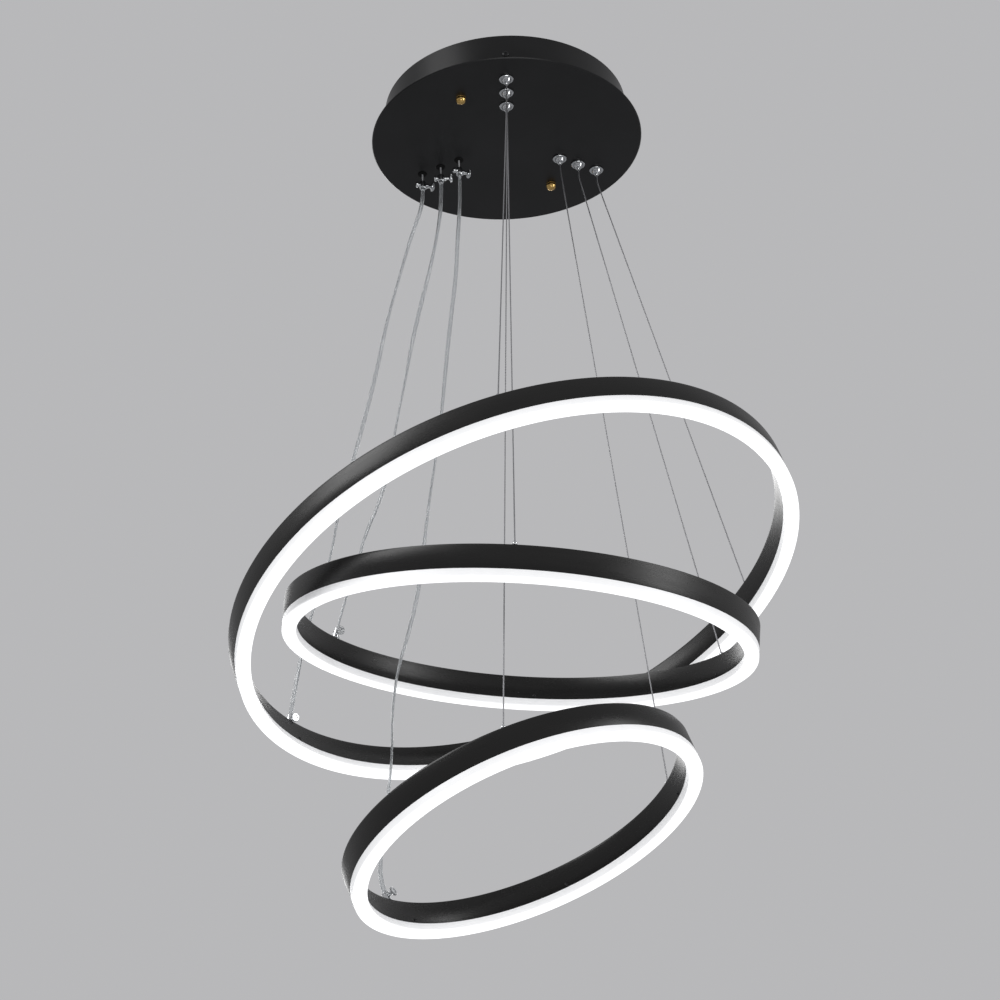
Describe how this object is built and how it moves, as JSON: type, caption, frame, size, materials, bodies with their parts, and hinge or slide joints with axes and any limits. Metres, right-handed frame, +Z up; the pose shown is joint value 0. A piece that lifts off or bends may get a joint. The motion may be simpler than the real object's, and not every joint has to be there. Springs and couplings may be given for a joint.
{
  "type": "ring chandelier",
  "caption": "Black ceiling lamp of tilted light rings in falling sizes, hung on thin wires and clear power cords from a round flat canopy, with chrome grippers and clamps.",
  "frame": {"origin": "centre of the ceiling face, where the canopy's bracket meets the ceiling", "axes": "+Z up into the ceiling; -Y towards the line of wire grippers nearest the viewer; +X to the viewer's right"},
  "size_m": [0.4883, 0.4996, 0.8141],
  "materials": {
    "zinc_steel": "zinc plated, satin",
    "brass": "polished",
    "canopy_black": "black, satin",
    "fitting_chrome": "polished",
    "black_steel_screw": "black, satin",
    "wire_steel": "stranded steel wire",
    "driver_white": "moulded, matt",
    "block_white": "moulded, semi matt",
    "lead_sheath": "insulation",
    "bush_black": "moulded, matt",
    "cord_core": "tinned, bright",
    "cord_clear": "clear insulation over tinned strands",
    "channel_black": "black, brushed lengthwise, satin",
    "diffuser_opal": "opal, lit from inside",
    "strip_white": "coated board"
  },
  "bodies": {
    "canopy": {"ceiling_bracket": "zinc_steel", "bracket_studs": "zinc_steel", "earth_screw": "brass", "canopy_drum": "canopy_black", "canopy_plate": "canopy_black", "drum_brackets": "zinc_steel", "drum_screws": "black_steel_screw", "led_drivers": "driver_white", "terminal_block": "block_white", "internal_leads": "lead_sheath", "gripper_nuts": "zinc_steel", "cord_bushes": "bush_black", "cord_stems": "cord_core", "gripper_bodies_near": "fitting_chrome", "gripper_bodies_right": "fitting_chrome", "cord_clamp_large": "fitting_chrome", "cord_large": "cord_clear", "wire_large_near": "wire_steel", "wire_large_right": "wire_steel", "cord_clamp_middle": "fitting_chrome", "cord_middle": "cord_clear", "wire_middle_near": "wire_steel", "wire_middle_right": "wire_steel", "cord_clamp_small": "fitting_chrome", "cord_small": "cord_clear", "wire_small_near": "wire_steel", "wire_small_right": "wire_steel"},
    "ring_large": {"channel_large": "channel_black", "diffuser_large": "diffuser_opal", "led_strip_large": "strip_white", "wire_lugs_large": "fitting_chrome", "cord_grip_large": "fitting_chrome", "edge_screws_large": "black_steel_screw"},
    "grip_screw_large": {"grip_screw_large": "fitting_chrome"},
    "clamp_screw_large": {"clamp_screw_large": "fitting_chrome"},
    "plunger_large_near": {"plunger_large_near": "fitting_chrome"},
    "plunger_large_right": {"plunger_large_right": "fitting_chrome"},
    "ring_middle": {"channel_middle": "channel_black", "diffuser_middle": "diffuser_opal", "led_strip_middle": "strip_white", "wire_lugs_middle": "fitting_chrome", "cord_grip_middle": "fitting_chrome", "edge_screws_middle": "black_steel_screw"},
    "grip_screw_middle": {"grip_screw_middle": "fitting_chrome"},
    "clamp_screw_middle": {"clamp_screw_middle": "fitting_chrome"},
    "plunger_middle_near": {"plunger_middle_near": "fitting_chrome"},
    "plunger_middle_right": {"plunger_middle_right": "fitting_chrome"},
    "ring_small": {"channel_small": "channel_black", "diffuser_small": "diffuser_opal", "led_strip_small": "strip_white", "wire_lugs_small": "fitting_chrome", "cord_grip_small": "fitting_chrome", "edge_screws_small": "black_steel_screw"},
    "grip_screw_small": {"grip_screw_small": "fitting_chrome"},
    "clamp_screw_small": {"clamp_screw_small": "fitting_chrome"},
    "plunger_small_near": {"plunger_small_near": "fitting_chrome"},
    "plunger_small_right": {"plunger_small_right": "fitting_chrome"},
    "cover_nut_1": {"cover_nut_1": "brass"},
    "cover_nut_2": {"cover_nut_2": "brass"}
  },
  "joints": [
    {"name": "height_large", "type": "slide", "parent": "canopy", "child": "ring_large", "axis": [0, 0, 1], "range_m": [-0.05, 0.25], "deforming": ["wire_large_near", "wire_large_right", "cord_large"]},
    {"name": "height_middle", "type": "slide", "parent": "canopy", "child": "ring_middle", "axis": [0, 0, 1], "range_m": [-0.05, 0.05], "deforming": ["wire_middle_near", "wire_middle_right", "cord_middle"]},
    {"name": "height_small", "type": "slide", "parent": "canopy", "child": "ring_small", "axis": [0, 0, 1], "range_m": [-0.2, 0.05], "deforming": ["wire_small_near", "wire_small_right", "cord_small"]},
    {"name": "turn_clamp_screw_large", "type": "hinge", "parent": "canopy", "child": "clamp_screw_large", "pos_m": [-0.07967, 0.046, -0.049], "axis": [0.9397, 0.342, 0], "range_deg": [0, 720]},
    {"name": "turn_grip_screw_large", "type": "hinge", "parent": "ring_large", "child": "grip_screw_large", "pos_m": [-0.21155, 0.11251, -0.56813], "axis": [0.6406, -0.7479, -0.1742], "range_deg": [0, 720]},
    {"name": "turn_clamp_screw_middle", "type": "hinge", "parent": "canopy", "child": "clamp_screw_middle", "pos_m": [-0.06235, 0.036, -0.049], "axis": [1, 0, 0], "range_deg": [0, 720]},
    {"name": "turn_grip_screw_middle", "type": "hinge", "parent": "ring_middle", "child": "grip_screw_middle", "pos_m": [-0.16786, 0.07586, -0.50379], "axis": [0.4773, -0.8593, -0.1838], "range_deg": [0, 720]},
    {"name": "turn_clamp_screw_small", "type": "hinge", "parent": "canopy", "child": "clamp_screw_small", "pos_m": [-0.04503, 0.026, -0.049], "axis": [0.8829, 0.4695, 0], "range_deg": [0, 720]},
    {"name": "turn_grip_screw_small", "type": "hinge", "parent": "ring_small", "child": "grip_screw_small", "pos_m": [-0.12857, 0.03596, -0.7716], "axis": [0.7721, -0.5695, 0.282], "range_deg": [0, 720]},
    {"name": "press_plunger_large_near", "type": "slide", "parent": "canopy", "child": "plunger_large_near", "axis": [0, 0, 1], "range_m": [0, 0.002], "stiffness_N_per_m": 300, "springref_m": -0.002},
    {"name": "press_plunger_large_right", "type": "slide", "parent": "canopy", "child": "plunger_large_right", "axis": [0, 0, 1], "range_m": [0, 0.002], "stiffness_N_per_m": 300, "springref_m": -0.002},
    {"name": "press_plunger_middle_near", "type": "slide", "parent": "canopy", "child": "plunger_middle_near", "axis": [0, 0, 1], "range_m": [0, 0.002], "stiffness_N_per_m": 300, "springref_m": -0.002},
    {"name": "press_plunger_middle_right", "type": "slide", "parent": "canopy", "child": "plunger_middle_right", "axis": [0, 0, 1], "range_m": [0, 0.002], "stiffness_N_per_m": 300, "springref_m": -0.002},
    {"name": "press_plunger_small_near", "type": "slide", "parent": "canopy", "child": "plunger_small_near", "axis": [0, 0, 1], "range_m": [0, 0.002], "stiffness_N_per_m": 300, "springref_m": -0.002},
    {"name": "press_plunger_small_right", "type": "slide", "parent": "canopy", "child": "plunger_small_right", "axis": [0, 0, 1], "range_m": [0, 0.002], "stiffness_N_per_m": 300, "springref_m": -0.002},
    {"name": "turn_cover_nut_1", "type": "hinge", "parent": "canopy", "child": "cover_nut_1", "pos_m": [-0.04146, -0.069, -0.036], "axis": [0, 0, 1], "range_deg": [0, 2050]},
    {"name": "turn_cover_nut_2", "type": "hinge", "parent": "canopy", "child": "cover_nut_2", "pos_m": [0.04146, 0.069, -0.036], "axis": [0, 0, 1], "range_deg": [0, 2050]}
  ]
}
